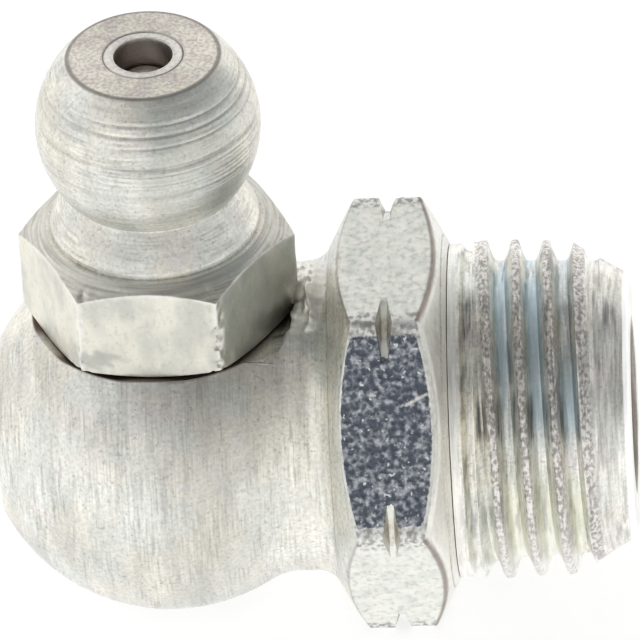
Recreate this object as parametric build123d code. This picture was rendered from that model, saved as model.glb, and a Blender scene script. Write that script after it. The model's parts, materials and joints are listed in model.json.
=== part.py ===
from build123d import *
import os
from math import cos, radians, sin, sqrt, tan

# A right-angle grease nipple for a 1/8 inch taper-threaded port. Millimetres, +Z up.
# The shank lies along X and points to +X. The nipple head stands up along +Z.
# The origin is on the shank's axis, in the gauge plane of its taper thread.

# ---- driving dimensions: elbow body -------------------------------------------------
GAUGE_DIA = 9.728  # major diameter of the 1/8 inch taper thread in its gauge plane
GAUGE_LENGTH = 4.0  # gauge plane to the shank's tip
BALL_DIA = 11.0  # turned ball that the shank and the head meet in
BALL_END = 4.9  # head's axis to the flat parted-off end of the ball
NECK_DIA = 9.0  # neck between ball and hex flange
NECK_LENGTH = 1.023  # from the ball to the root cone
NECK_BALL_FILLET = 2.0
FILLET_SHARE = 0.9  # most of the neck's length that the fillet may take
NECK_ROOT = 0.38  # rise of the root cone that eases the neck into the flange's chamfer

FLANGE_AF = 11.0  # hex flange, across flats
FLANGE_RIM = 1.9  # its thickness at the corners
FLANGE_BACK = 2.0  # gauge plane back to the corner rim's near edge
FLANGE_CHAMFER = 28.0  # slope of the chamfer cones, degrees from square
MARK_DEPTH = 0.5  # groove that notches the corners, the mark of an inch-threaded part
MARK_FLOOR = 0.15
MARK_FLANK = 19.3  # half angle between the groove's flanks

COLLAR_DIA = 9.74  # plain collar between flange and thread relief
COLLAR_BACK = 0.85  # gauge plane back to the relief
RELIEF_DIA = 9.3
RELIEF_FLOOR = 0.173  # length of the relief's floor, between its flanks
LEAD_SLOPE = 30.0  # slope of the shank's lead chamfer, degrees from its axis
TIP_DIA = 7.3  # flat end of the shank
TIP_EDGE = 0.32  # 45 degree break round the end
SHANK_BORE = 3.2
BORE_MOUTH = 5.2  # countersink of the grease bore
DRILL_POINT = 118.0  # included angle of the drilled bore's blind end

# ---- driving dimensions: nipple head ------------------------------------------------
SEAT_HEIGHT = 4.0  # shank's axis up to the spot face that the head sits on
SPOT_CLEARANCE = 0.16  # hex corners to the cutter's wall round the spot face
STUD_DIA = 4.6  # plain stud, a line-to-line press fit in the ball
STUD_LENGTH = 1.9
STUD_FLOOR_GAP = 0.1  # stud's end to the floor of its socket
PASSAGE_DIA = 2.4  # socket floor down to the shank's bore

HEX_AF = 7.0
HEX_TURN = -4.5  # the hex stops a little short of square to the shank, degrees
HEX_TOP = 2.64  # spot face to the hex's upper corners
HEX_BOTTOM_CHAMFER_DIA = 7.0  # where the lower chamfer meets the spot face
HEX_CHAMFER = 30.0  # slope of both chamfer cones, degrees
SHOULDER_DIA = 6.3  # top of the hex's chamfer
SHOULDER_STEP = 0.16  # little upright step under the flare
FLARE_DIA = 6.06
NECK_HEIGHT = 4.45  # spot face to the narrowest place, under the coupler ball
HEAD_NECK_DIA = 5.0
COUPLER_DIA = 6.5  # the ball that a grease coupler grips
COUPLER_CENTRE = 6.55  # spot face to the ball's centre
COUPLER_FLAT = 2.38  # ball's centre to the flat that the coupler seals on
COUPLER_EDGE = 0.06  # break round that flat

# ---- driving dimensions: check valve ------------------------------------------------
MOUTH_DIA = 1.7
MOUTH_LENGTH = 0.9  # flat top down to the upper edge of the valve seat
SEAT_ANGLE = 30.0  # half angle of the conical valve seat
CHAMBER_DIA = 2.7
CHECK_BALL_DIA = 2.3
SEAT_GAP = 0.02  # running gap between the closed ball and its seat
LIP_BORE = 1.5  # stud's end, rolled in to hold the spring
LIP_HEIGHT = 0.5
LIP_TAPER = 0.45  # how far the roll draws the stud's outside in
WIRE_DIA = 0.18
WIRE_SIDES = 6  # the fine wire's round section, drawn with flats
SPRING_MEAN_DIA = 1.9
ACTIVE_TURNS = 5
SPRING_GAP = 0.03  # spring to the lip below it and to the ball above it

# ---- sizes that follow --------------------------------------------------------------
GAUGE_R = GAUGE_DIA / 2
FLANGE_CORNER_R = FLANGE_AF / sqrt(3)
FLANGE_RIGHT = -FLANGE_BACK
FLANGE_LEFT = FLANGE_RIGHT - FLANGE_RIM
CHAMFER_RUN = tan(radians(FLANGE_CHAMFER))
ROOT_TOP = FLANGE_LEFT - (FLANGE_CORNER_R - NECK_DIA / 2 - NECK_ROOT) * CHAMFER_RUN
ROOT_FOOT = ROOT_TOP - NECK_ROOT / tan(radians(90 - FLANGE_CHAMFER) / 2)
BALL_FOOT = sqrt(BALL_DIA**2 - NECK_DIA**2) / 2  # head's axis to where the neck leaves the ball
HEAD_X = ROOT_FOOT - NECK_LENGTH - BALL_FOOT
BALL_END_X = HEAD_X - BALL_END
RELIEF_START = -COLLAR_BACK + (COLLAR_DIA - RELIEF_DIA) / 2
RELIEF_END = RELIEF_START + RELIEF_FLOOR
THREAD_START = RELIEF_END + (GAUGE_DIA - RELIEF_DIA) / 4
LEAD_START = GAUGE_LENGTH - TIP_EDGE - (GAUGE_R - TIP_DIA / 2 - TIP_EDGE) / tan(radians(LEAD_SLOPE))

HEX_CORNER_R = HEX_AF / sqrt(3)
HEX_RISE = tan(radians(HEX_CHAMFER))
SPOT_R = HEX_CORNER_R + SPOT_CLEARANCE
SEAT_Z = SEAT_HEIGHT
STUD_Z = SEAT_Z - STUD_LENGTH
SOCKET_Z = STUD_Z - STUD_FLOOR_GAP
COUPLER_Z = SEAT_Z + COUPLER_CENTRE
TOP_Z = COUPLER_Z + COUPLER_FLAT
SEAT_EDGE_Z = TOP_Z - MOUTH_LENGTH
CHAMBER_TOP_Z = SEAT_EDGE_Z - (CHAMBER_DIA - MOUTH_DIA) / 2 / tan(radians(SEAT_ANGLE))
LIP_Z = STUD_Z + LIP_HEIGHT

# the check ball touches the seat cone on a circle, one running gap away from it
BALL_REACH = CHECK_BALL_DIA / 2 + SEAT_GAP
CONTACT_DROP = (BALL_REACH * cos(radians(SEAT_ANGLE)) - MOUTH_DIA / 2) / tan(radians(SEAT_ANGLE))
CHECK_BALL_Z = SEAT_EDGE_Z - CONTACT_DROP - BALL_REACH * sin(radians(SEAT_ANGLE))

# the spring's top turn lies under the ball, touching it on a circle of its own mean size
SPRING_LOW = LIP_Z + SPRING_GAP + WIRE_DIA / 2
WIRE_REACH = (CHECK_BALL_DIA + WIRE_DIA) / 2 + SPRING_GAP
SPRING_HIGH = CHECK_BALL_Z - sqrt(WIRE_REACH**2 - (SPRING_MEAN_DIA / 2) ** 2)


def nearest_corner(outline, x, y):
    """The outline's vertex nearest to this place."""
    return outline.vertices().sort_by_distance(Vector(x, y, 0))[0]


def neck_fillet():
    """The fillet between ball and neck, no larger than the neck's length leaves room for."""
    fillet_end = BALL_FOOT + FILLET_SHARE * NECK_LENGTH
    return min(NECK_BALL_FILLET, (fillet_end**2 - BALL_FOOT**2) / (BALL_DIA - NECK_DIA))


def turned_blank():
    """Ball, neck, flange disc, collar, relief and thread blank: one turning about the X axis."""
    ball = Pos(HEAD_X, 0) * Circle(BALL_DIA / 2)
    ball &= Pos(BALL_END_X, 0) * Rectangle(2 * BALL_DIA, BALL_DIA, align=(Align.MIN, Align.MIN))
    neck = Pos(HEAD_X, 0) * Rectangle(FLANGE_LEFT - HEAD_X, NECK_DIA / 2, align=(Align.MIN, Align.MIN))
    flange = make_face(
        Polyline(
            (ROOT_FOOT, 0),
            (ROOT_FOOT, NECK_DIA / 2),
            (ROOT_TOP, NECK_DIA / 2 + NECK_ROOT),
            (FLANGE_LEFT, FLANGE_CORNER_R),
            (FLANGE_RIGHT, FLANGE_CORNER_R),
            (FLANGE_RIGHT + FLANGE_CORNER_R * CHAMFER_RUN, 0),
            close=True,
        )
    )
    shank = make_face(
        Polyline(
            (FLANGE_RIGHT, 0),
            (FLANGE_RIGHT, COLLAR_DIA / 2),
            (-COLLAR_BACK, COLLAR_DIA / 2),
            (RELIEF_START, RELIEF_DIA / 2),
            (RELIEF_END, RELIEF_DIA / 2),
            (THREAD_START, GAUGE_R),
            (LEAD_START, GAUGE_R),
            (GAUGE_LENGTH - TIP_EDGE, TIP_DIA / 2 + TIP_EDGE),
            (GAUGE_LENGTH, TIP_DIA / 2),
            (GAUGE_LENGTH, 0),
            close=True,
        )
    )
    outline = ball + neck + flange + shank
    outline = fillet(nearest_corner(outline, HEAD_X + BALL_FOOT, NECK_DIA / 2), neck_fillet())
    return revolve(Plane.XZ * outline, Axis.X)


def flange_flats():
    """What milling the six flats takes off the flange disc."""
    reach = (FLANGE_CORNER_R - NECK_DIA / 2) * CHAMFER_RUN
    width = FLANGE_RIM + 2 * reach
    at_flange = Plane.YZ.offset(FLANGE_LEFT - reach)
    disc = extrude(at_flange * Circle(FLANGE_CORNER_R + 1), width)
    bar = extrude(at_flange * RegularPolygon(FLANGE_AF / 2, 6, major_radius=False), width)
    return disc - bar


def corner_mark():
    """The turned groove round the flange, deep enough to notch only its corners."""
    middle = (FLANGE_LEFT + FLANGE_RIGHT) / 2
    floor = MARK_FLOOR / 2
    rim = floor + 2 * MARK_DEPTH * tan(radians(MARK_FLANK))
    section = make_face(
        Polyline(
            (middle - floor, FLANGE_CORNER_R - MARK_DEPTH),
            (middle + floor, FLANGE_CORNER_R - MARK_DEPTH),
            (middle + rim, FLANGE_CORNER_R + MARK_DEPTH),
            (middle - rim, FLANGE_CORNER_R + MARK_DEPTH),
            close=True,
        )
    )
    return revolve(Plane.XZ * section, Axis.X)


def head_socket():
    """The spot face, the socket for the head's stud and the passage down to the shank's bore."""
    spot = Pos(HEAD_X, 0, SEAT_Z) * extrude(Circle(SPOT_R), BALL_DIA)
    socket = Pos(HEAD_X, 0, SOCKET_Z) * extrude(Circle(STUD_DIA / 2), SEAT_Z - SOCKET_Z)
    passage = Pos(HEAD_X, 0, 0) * extrude(Circle(PASSAGE_DIA / 2), SOCKET_Z)
    return spot + socket + passage


def shank_bore():
    """The drilled grease bore: a countersunk mouth and a drill point under the passage."""
    sink = (BORE_MOUTH - SHANK_BORE) / 2
    blind_x = HEAD_X - PASSAGE_DIA / 2
    point = SHANK_BORE / 2 / tan(radians(DRILL_POINT / 2))
    section = make_face(
        Polyline(
            (blind_x - point, 0),
            (blind_x, SHANK_BORE / 2),
            (GAUGE_LENGTH - sink, SHANK_BORE / 2),
            (GAUGE_LENGTH, BORE_MOUTH / 2),
            (GAUGE_LENGTH + 1, BORE_MOUTH / 2),
            (GAUGE_LENGTH + 1, 0),
            close=True,
        )
    )
    return revolve(Plane.XZ * section, Axis.X)


def elbow_body():
    """The turned, milled and drilled elbow, in one piece with its shank."""
    return turned_blank() - flange_flats() - corner_mark() - head_socket() - shank_bore()


def head_hex():
    """The head's hex, chamfered by a cone at both ends."""
    bottom_r = HEX_BOTTOM_CHAMFER_DIA / 2
    shoulder_r = SHOULDER_DIA / 2
    chamfers = make_face(
        Polyline(
            (0, SEAT_Z),
            (bottom_r, SEAT_Z),
            (HEX_CORNER_R, SEAT_Z + (HEX_CORNER_R - bottom_r) * HEX_RISE),
            (HEX_CORNER_R, SEAT_Z + HEX_TOP),
            (shoulder_r, SEAT_Z + HEX_TOP + (HEX_CORNER_R - shoulder_r) * HEX_RISE),
            (0, SEAT_Z + HEX_TOP + (HEX_CORNER_R - shoulder_r) * HEX_RISE),
            close=True,
        )
    )
    bar = Pos(0, 0, SEAT_Z) * extrude(RegularPolygon(HEX_AF / 2, 6, major_radius=False), COUPLER_CENTRE)
    return Rot(0, 0, HEX_TURN) * (bar & revolve(Plane.XZ * chamfers, Axis.Z))


def head_turning():
    """Everything of the head that is round outside: stud, step, flare, neck and coupler ball."""
    step_z = SEAT_Z + HEX_TOP + (HEX_CORNER_R - SHOULDER_DIA / 2) * HEX_RISE
    flare_z = step_z + SHOULDER_STEP
    neck_z = SEAT_Z + NECK_HEIGHT
    top_r = sqrt((COUPLER_DIA / 2) ** 2 - (TOP_Z - COUPLER_Z) ** 2)
    stem = make_face(
        Polyline(
            (0, STUD_Z),
            (STUD_DIA / 2 - LIP_TAPER, STUD_Z),
            (STUD_DIA / 2, LIP_Z),
            (STUD_DIA / 2, SEAT_Z + HEX_TOP / 2),
            (FLARE_DIA / 2, SEAT_Z + HEX_TOP / 2),
            (FLARE_DIA / 2, flare_z),
            (HEAD_NECK_DIA / 2, neck_z),
            (HEAD_NECK_DIA / 2, COUPLER_Z),
            (0, COUPLER_Z),
            close=True,
        )
    )
    ball = Pos(0, COUPLER_Z) * Circle(COUPLER_DIA / 2)
    ball &= Pos(0, SEAT_Z) * Rectangle(COUPLER_DIA, TOP_Z - SEAT_Z, align=(Align.MIN, Align.MIN))
    outline = ball + stem
    outline = chamfer(nearest_corner(outline, top_r, TOP_Z), COUPLER_EDGE)
    return revolve(Plane.XZ * outline, Axis.Z)


def valve_bore():
    """The head's inside: mouth, conical seat, spring chamber and the rolled lip's hole."""
    section = make_face(
        Polyline(
            (0, STUD_Z - 1),
            (LIP_BORE / 2, STUD_Z - 1),
            (LIP_BORE / 2, LIP_Z),
            (CHAMBER_DIA / 2, LIP_Z),
            (CHAMBER_DIA / 2, CHAMBER_TOP_Z),
            (MOUTH_DIA / 2, SEAT_EDGE_Z),
            (MOUTH_DIA / 2, TOP_Z + 1),
            (0, TOP_Z + 1),
            close=True,
        )
    )
    return revolve(Plane.XZ * section, Axis.Z)


def nipple_head():
    """The nipple pressed into the elbow: hex, flare and coupler ball round the check valve."""
    return Pos(HEAD_X, 0, 0) * (head_hex() + head_turning() - valve_bore())


def check_ball():
    """The steel ball that closes the mouth."""
    return Pos(HEAD_X, 0, CHECK_BALL_Z) * Sphere(CHECK_BALL_DIA / 2)


def valve_spring():
    """The compression spring under the ball, wound right-handed at one pitch."""
    pitch = (SPRING_HIGH - SPRING_LOW) / ACTIVE_TURNS
    path = Helix(pitch, SPRING_HIGH - SPRING_LOW, SPRING_MEAN_DIA / 2)
    start = Plane(origin=path @ 0, z_dir=path % 0)
    wire = sweep(start * RegularPolygon(WIRE_DIA / 2, WIRE_SIDES), path=path, is_frenet=True)
    return Pos(HEAD_X, 0, SPRING_LOW) * wire


PARTS = {
    "elbow_body": elbow_body,
    "nipple_head": nipple_head,
    "check_ball": check_ball,
    "valve_spring": valve_spring,
}

os.makedirs("parts", exist_ok=True)
for node, build in PARTS.items():
    export_step(build(), f"parts/{node}.step")
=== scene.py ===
import json
from math import acos, asin, atan, atan2, cos, pi, radians, sin, sqrt, tan

import bmesh
import bpy
import numpy as np
from mathutils import Matrix, Vector


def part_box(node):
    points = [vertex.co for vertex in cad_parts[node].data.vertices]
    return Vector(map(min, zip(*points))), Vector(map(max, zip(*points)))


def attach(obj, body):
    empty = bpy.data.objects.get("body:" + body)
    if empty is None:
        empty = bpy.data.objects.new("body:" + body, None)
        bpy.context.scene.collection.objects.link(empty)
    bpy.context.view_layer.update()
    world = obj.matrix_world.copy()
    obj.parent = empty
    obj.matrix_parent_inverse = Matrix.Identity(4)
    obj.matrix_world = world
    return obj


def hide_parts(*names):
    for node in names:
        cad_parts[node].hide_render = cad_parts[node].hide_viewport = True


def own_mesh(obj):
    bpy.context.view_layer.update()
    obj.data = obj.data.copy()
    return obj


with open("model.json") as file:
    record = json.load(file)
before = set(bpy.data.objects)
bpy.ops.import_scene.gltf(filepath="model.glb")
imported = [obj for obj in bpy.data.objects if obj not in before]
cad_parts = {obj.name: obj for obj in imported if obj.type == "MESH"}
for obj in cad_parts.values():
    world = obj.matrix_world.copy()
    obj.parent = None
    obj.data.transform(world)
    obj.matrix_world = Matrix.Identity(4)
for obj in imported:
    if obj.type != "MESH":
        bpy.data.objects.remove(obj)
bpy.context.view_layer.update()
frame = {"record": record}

MM = 0.001  # meshes are built in millimetres and scaled to metres when they are done
MERGE = 1e-5  # points nearer than this are one point
MOST_ROUNDED = 0.45  # a corner's rounding takes no more of its sides than this share
ROUND, FINE_ROUND = (np.linspace(0, 2 * pi, steps + 1) for steps in (96, 480))  # whole turns
SHARP = radians(33)  # a steeper fold than this stays an edge in the shading


def mount_mm(name):
    """A mount's place on the CAD part, in millimetres."""
    mounts = frame["record"]["mounts"]
    place = next(m for m in mounts if m["name"] == name)["pos_m"]
    return [c / MM for c in place]


# ---- sizes in millimetres ----
# Most are the CAD part's. Where one follows the photograph more closely, the piece still
# keeps inside the CAD part's box.
HEAD_X, _, COUPLER_Z = mount_mm("coupler_grip")  # the head's axis and its ball's centre
TOP_Z = mount_mm("coupler_face")[2]
END_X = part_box("elbow_body")[0][0] / MM
FLOOR_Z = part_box("elbow_body")[0][2] / MM

BALL_R = 5.5
BALL_FILLET = 2.0
NECK_R = 4.5
ROOT_FILLET = 0.8
SIXTH = radians(60)  # from corner to corner of a hexagon
FLANGE_A = 5.5  # half the distance across the flats
FLANGE_R = FLANGE_A / cos(SIXTH / 2)
FLANGE_ROUND = 0.25  # the drawn bar's corners
FLANGE_CROWN = (0.6, tan(radians(5)))  # beside its corners each flat falls away: reach, slope
FLANGE_LEFT = -3.9
FLANGE_RIGHT = -2.0
CONE_RUN = tan(radians(28))  # of its chamfers: along for each unit of radius
LINE_R = 5.15  # a tool's line round the right chamfer
LINE_DEPTH = 0.035
MARK_X = (FLANGE_LEFT + FLANGE_RIGHT) / 2  # the marking groove round its middle
MARK_FLOOR_R = FLANGE_R - 0.5
MARK_HALF = 0.075
MARK_SLOPE = tan(radians(19.3))
SCRATCH = ((-2.38, 0.76), (-1.78, 1.05))  # on the front flat, along the shank and up the flat
COLLAR_R = 4.87
COLLAR_X = FLANGE_RIGHT + (FLANGE_R - COLLAR_R) * CONE_RUN
COLLAR_END = -0.85
RELIEF_R = 4.65
RELIEF_X = (-0.63, -0.5)  # about where it starts and ends
PITCH = 0.907
THREAD_R = 4.93
THREAD_TAPER = 1 / 32
THREAD_DEPTH = 0.581
CREST_HALF = (0.07, 0.37)  # half a ridge's width at its crest and at its root
CREST_X = -0.13  # a crest's place along the top of the shank
SMUT_LOW = (21, 28, 35, 42)  # degrees up from the front where bands of painted dark reflection start, are full and end
SMUT_HIGH = (62, 68, 76, 83)
LEAD_X = 2.13
LEAD_END = (3.83, 3.92)  # along, and radius
TIP_X = 4.0
TIP_R = 3.7
BORE_R = 1.6
BORE_MOUTH_R = 2.6
BORE_MOUTH_DEPTH = 1.0
BORE_POINT = 0.96  # how far the drill's point went on

SPOT_Z = 4.04  # the spot face that the head stands on
SPOT_R = 4.09
SOCKET_Z = 2.0
STUD_R = 2.3
STUD_CHAMFER = 0.45
PASSAGE_R = 1.2

HEX_A = 3.5
HEX_TURN = radians(-3.2)  # it was pressed in a little off square
HEX_ROUND = 0.1
HEX_TOP_Z = 6.64  # at the corners
HEX_RISE = tan(radians(30))  # of its chamfer, for each unit of radius
HEX_R = HEX_A / cos(SIXTH / 2)
HEX_FOOT_R = 3.45  # outside it the corners' feet are cut back
HEX_FOOT_RISE = tan(radians(20))
SCUFF = (-1.8, 4.65, 0.8, 0.3)  # on the front facet: its middle aside and up, and half sizes
SHOULDER_R = 3.15
SHOULDER_Z = HEX_TOP_Z + (HEX_R - SHOULDER_R) * HEX_RISE
FLARE = ((7.32, 3.03), (8.45, 2.5))  # height and radius at its foot and its top
COUPLER_R = 3.25
FLAT_TOP_R = sqrt(COUPLER_R**2 - (TOP_Z - COUPLER_Z) ** 2)
MOUTH_R = 0.85
BURNISHED_R = 1.02  # of the ring that grease guns have burnished round the mouth
BURNISHED_DEPTH = 0.01
MOUTH_LINE = (1.13, 0.05, 0.025)  # round that ring: radius, depth and half width
CHAMBER_R = 1.35
SEAT_EDGE_Z = TOP_Z - 0.9
CHAMBER_TOP_Z = SEAT_EDGE_Z - (CHAMBER_R - MOUTH_R) / tan(radians(30))
LIP_Z = 2.6
LIP_BORE_R = 0.75
STUD_Z = 2.1
# rings that the turning tool left on the coupler ball: heights and depths
TOOL_RINGS = ((12.32, 0.03), (12.01, 0.04), (11.72, 0.02), (11.1, 0.04), (10.1, 0.02))
RING_HALF = 0.035
FINE_RINGS = (9.9, 11.3, 0.145, 0.016)  # from, to, spacing, depth

WIRE_R = 0.09
SPRING_R = 0.95
SPRING_TURNS = 5

# ---- unevenness: each layer is (depth in mm, bumps to a mm, seed) ----
BALL_WAVES = ((0.012, (1.1, 0.5, 0.5), 3), (0.004, (7, 0.5, 0.5), 4))
BURR_LUMPS = ((1.0, (2.0, 1.6, 2.0), 5), (0.25, 5, 6))  # shares of the burr's height
FLAT_WAVES = ((0.01, 1.6, 11), (0.006, 5, 12))
DARK_GRAIN = (0.016, 11, 13)
CORNER_WAVES = (0.02, (6, 2.5, 2.5), 14)
TORN_CREST = ((0.02, (9, 5, 5), 21), (0.025, (2.5, 1.2, 1.2), 23))
SHANK_RINGS = (0.006, (14, 0.6, 0.6), 22)
EDGE_BITES = (1.0, (3.5, 3.5, 4.5), 32)  # shares of a chip's depth
EDGE_GRAIN = (0.3, 7, 36)
FACET_WAVES = ((0.01, 2.0, 33), (0.006, (5, 5, 4), 34))
HEAD_RINGS = (0.004, (0.5, 0.5, 9), 35)
CHIP_DEPTH = 0.13
BURR_RISE = (0.2, 0.4)  # its height where it is even, and what its lumps add
# the surfaces are set in by this much, so that no wave leaves the CAD part's box
BALL_INSET = 0.016
ELBOW_INSET = 0.03
FACET_INSET = 0.016
HEAD_INSET = 0.004

# ---- camera ----
IMAGE = 640  # the photograph's side in pixels
VIEW_AZIMUTH = radians(3.5)
VIEW_ELEVATION = radians(35.486)
VIEW_ROLL = radians(3.97)
VIEW_DISTANCE = 0.6  # metres
SENSOR = 36
PIXELS_PER_METRE = 34447  # at the elbow's centre
ELBOW_PIXEL = (170.14, 420.12)  # where the axes of the two bores cross
ELBOW_CENTRE = Vector((HEAD_X * MM, 0, 0))


# ---- numbers ----
def noise(points, seed):
    """Smooth noise from -1 to 1 at each point, about one bump to a unit."""
    cell = np.floor(points).astype(np.int64)
    part = points - cell
    part = part * part * (3 - 2 * part)
    total = np.zeros(points.shape[:-1])
    for corner in np.ndindex(2, 2, 2):
        x, y, z = np.moveaxis(cell + corner, -1, 0)
        # large primes mix up the corners of the cells
        mixed = x * 73856093 ^ y * 19349663 ^ z * 83492791 ^ seed * 6542989
        mixed = (mixed ^ (mixed >> 13)) * 1274126177 & 0x7FFFFFFF
        value = ((mixed ^ (mixed >> 15)) & 0xFFFF) / 32767.5 - 1
        total += np.prod(np.where(corner, part, 1 - part), axis=-1) * value
    return total


def smooth(a, b, x):
    """0 at a, 1 at b, and a smooth step between."""
    t = np.clip((x - a) / (b - a), 0, 1)
    return t * t * (3 - 2 * t)


def fade(a, b, x):
    """1 at a, 0 at b, and a smooth step between."""
    return 1 - smooth(a, b, x)


def between(a, b, c, d, x):
    """0 at a, 1 from b to c, 0 again at d, and smooth steps between."""
    return smooth(a, b, x) * fade(c, d, x)


def off_flat(turn):
    """A turn from the middle of its flat, on a hexagon with a corner at 0."""
    return turn % SIXTH - SIXTH / 2


# ---- outlines ----
def arc(centre, radius, start, end, steps):
    """Outline corners along an arc, each (along, radius, no rounding, one row on)."""
    angles = np.linspace(start, end, steps + 1)
    return [(centre[0] + radius * np.cos(a), centre[1] + radius * np.sin(a), 0, 1) for a in angles]


def on_the_way(here, there, rounding):
    """The place a rounding's length on the way from here to there."""
    way = there - here
    length = np.maximum(np.hypot(*way.T)[:, None], 1e-9)
    return here + way * np.minimum(rounding / length, MOST_ROUNDED)


def rows_through(corners, columns):
    """Rows of (along, radius) through an outline's corners.

    A corner is (along, radius, rounding, rows to the next corner), and its place may differ
    from column to column."""
    places = []
    for along, radius, _, _ in corners:
        place = np.stack(np.broadcast_arrays(along, radius), -1)
        places.append(np.broadcast_to(place, (columns, 2)))
    rows = []
    for k, (_, _, rounding, steps) in enumerate(corners):
        following = (k + 1) % len(corners)
        here, after = places[k], places[following]
        leave = here
        if rounding:
            reach = on_the_way(here, places[k - 1], rounding)
            leave = on_the_way(here, after, rounding)
            rows += [reach, (reach + 2 * here + leave) / 4]
        arrive = on_the_way(after, here, corners[following][2])
        rows += [leave + (arrive - leave) * step / steps for step in range(steps)]
    return np.stack(rows)


def hex_radius(angle, apothem, rounding, crown=(0.01, 0)):
    """A hexagon's radius at each angle from a corner; the corners are rounded, and beside
    them the flats fall away by the crown's reach and slope."""
    off = np.abs(off_flat(angle))
    to_corner = SIXTH / 2 - off
    centre = (apothem - rounding) / cos(SIXTH / 2)
    inside = np.maximum(rounding**2 - (centre * np.sin(to_corner)) ** 2, 0)
    rounded = centre * np.cos(to_corner) + np.sqrt(inside)
    tangent = atan(tan(SIXTH / 2) * (1 - rounding / apothem))
    radius = np.where(off > tangent, rounded, apothem / np.cos(off))
    reach, slope = crown
    near = np.maximum(reach - apothem * (tan(SIXTH / 2) - np.tan(off)), 0)
    return radius - slope * near**2 / (reach + near)


# ---- meshes ----
def about_head(rows, turn):
    """Points of (height, radius) rows round the head."""
    height, radius = rows[..., 0], rows[..., 1]
    return np.stack([HEAD_X + radius * np.cos(turn), radius * np.sin(turn), height], axis=-1)


def about_shank(rows, turn):
    """Points of (along, radius) rows round the shank, from the front upwards."""
    along, radius = rows[..., 0], rows[..., 1]
    return np.stack([along, -radius * np.cos(turn), radius * np.sin(turn)], axis=-1)


def skin(name, points, closed):
    """A mesh through rows of points; what falls together is merged."""
    rows, columns = points.shape[:2]
    index = np.arange(rows * columns).reshape(rows, columns)
    if closed:
        index = np.concatenate([index, index[:1]])
    quads = [index[:-1, :-1], index[1:, :-1], index[1:, 1:], index[:-1, 1:]]
    faces = np.stack(quads, axis=-1).reshape(-1, 4)
    mesh = bpy.data.meshes.new(name)
    mesh.from_pydata(points.reshape(-1, 3).tolist(), [], faces.tolist())
    work = bmesh.new()
    work.from_mesh(mesh)
    bmesh.ops.remove_doubles(work, verts=work.verts, dist=MERGE)
    bmesh.ops.dissolve_degenerate(work, edges=work.edges, dist=MERGE)
    bmesh.ops.recalc_face_normals(work, faces=work.faces)
    work.to_mesh(mesh)
    work.free()
    return mesh


def lathe(name, about, corners, turn):
    """An outline turned into a mesh, closed if it starts off the axis."""
    points = about(rows_through(corners, len(turn)), turn)
    return skin(name, points, closed=np.any(corners[0][1]))


class Spots:
    """A mesh's points and normals, and how they lie about the two axes."""

    def __init__(self, mesh):
        self.place, self.normal = (self.read(mesh, field) for field in ("co", "normal"))
        self.x, self.y, self.z = self.place.T
        self.right, self.back, self.up = self.normal.T  # how far each normal points there
        self.aside = self.x - HEAD_X
        self.from_head = np.hypot(self.aside, self.y)
        self.head_turn = np.arctan2(self.y, self.aside)  # 0 towards the flange
        self.from_shank = np.hypot(self.y, self.z)
        self.shank_turn = np.arctan2(self.z, -self.y)  # 0 in front, a quarter turn on top

    def read(self, mesh, field):
        """One field of the mesh's points, as an array."""
        values = np.empty(len(mesh.vertices) * 3)
        mesh.vertices.foreach_get(field, values)
        return values.reshape(-1, 3)

    def noise(self, per_mm, seed):
        """Noise with so many bumps to a millimetre, alike or along x, y and z."""
        return noise(self.place * np.array(per_mm), seed)

    def waves(self, *layers):
        """The sum of layers of noise, each (depth, bumps to a millimetre, seed)."""
        return sum(depth * self.noise(per_mm, seed) for depth, per_mm, seed in layers)


def push(mesh, height_of):
    """Moves each point of a mesh along its normal by its height."""
    at = Spots(mesh)
    place = at.place + at.normal * height_of(at)[:, None]
    mesh.vertices.foreach_set("co", place.ravel())
    mesh.update()


def mark(mesh, **marks):
    """Keeps numbers from 0 to 1 on a mesh, by name, for its material."""
    at = Spots(mesh)
    for name, value_of in marks.items():
        layer = mesh.attributes.new(name, "FLOAT", "POINT")
        layer.data.foreach_set("value", np.clip(value_of(at), 0, 1))


def show(name, data):
    """A new object, put in the scene."""
    item = bpy.data.objects.new(name, data)
    bpy.context.collection.objects.link(item)
    return item


def cut(mesh, tool):
    """A mesh less a closed tool."""
    piece, cutter = show(mesh.name, mesh), show(tool.name, tool)
    modifier = piece.modifiers.new("cut", "BOOLEAN")
    modifier.operation = "DIFFERENCE"
    modifier.solver = "EXACT"
    modifier.object = cutter
    graph = bpy.context.evaluated_depsgraph_get()
    result = bpy.data.meshes.new_from_object(piece.evaluated_get(graph))
    for item in (piece, cutter):
        bpy.data.objects.remove(item)
    return result


def dress(name, mesh, body, slot, nodes, material):
    """Scales a mesh to metres, smooths all but its edges and puts it in the scene."""
    mesh.transform(Matrix.Scale(MM, 4))
    mesh.polygons.foreach_set("use_smooth", [True] * len(mesh.polygons))
    mesh.set_sharp_from_angle(angle=SHARP)
    mesh.materials.clear()
    mesh.materials.append(material)
    piece = show(name, mesh)
    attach(piece, body)
    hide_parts(*nodes)
    return piece


# ---- the elbow's ball and neck ----
ELBOW = ("fitting", "plated_elbow", ["elbow_body"])  # its pieces' body, slot and nodes
ROOT_BEND = pi / 2 - radians(28)  # from the neck's line to the flange's chamfer
ROOT_END = (
    FLANGE_LEFT - (FLANGE_R - NECK_R - ROOT_FILLET * (1 - cos(ROOT_BEND))) * CONE_RUN,
    NECK_R + ROOT_FILLET * (1 - cos(ROOT_BEND)),
)


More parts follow.
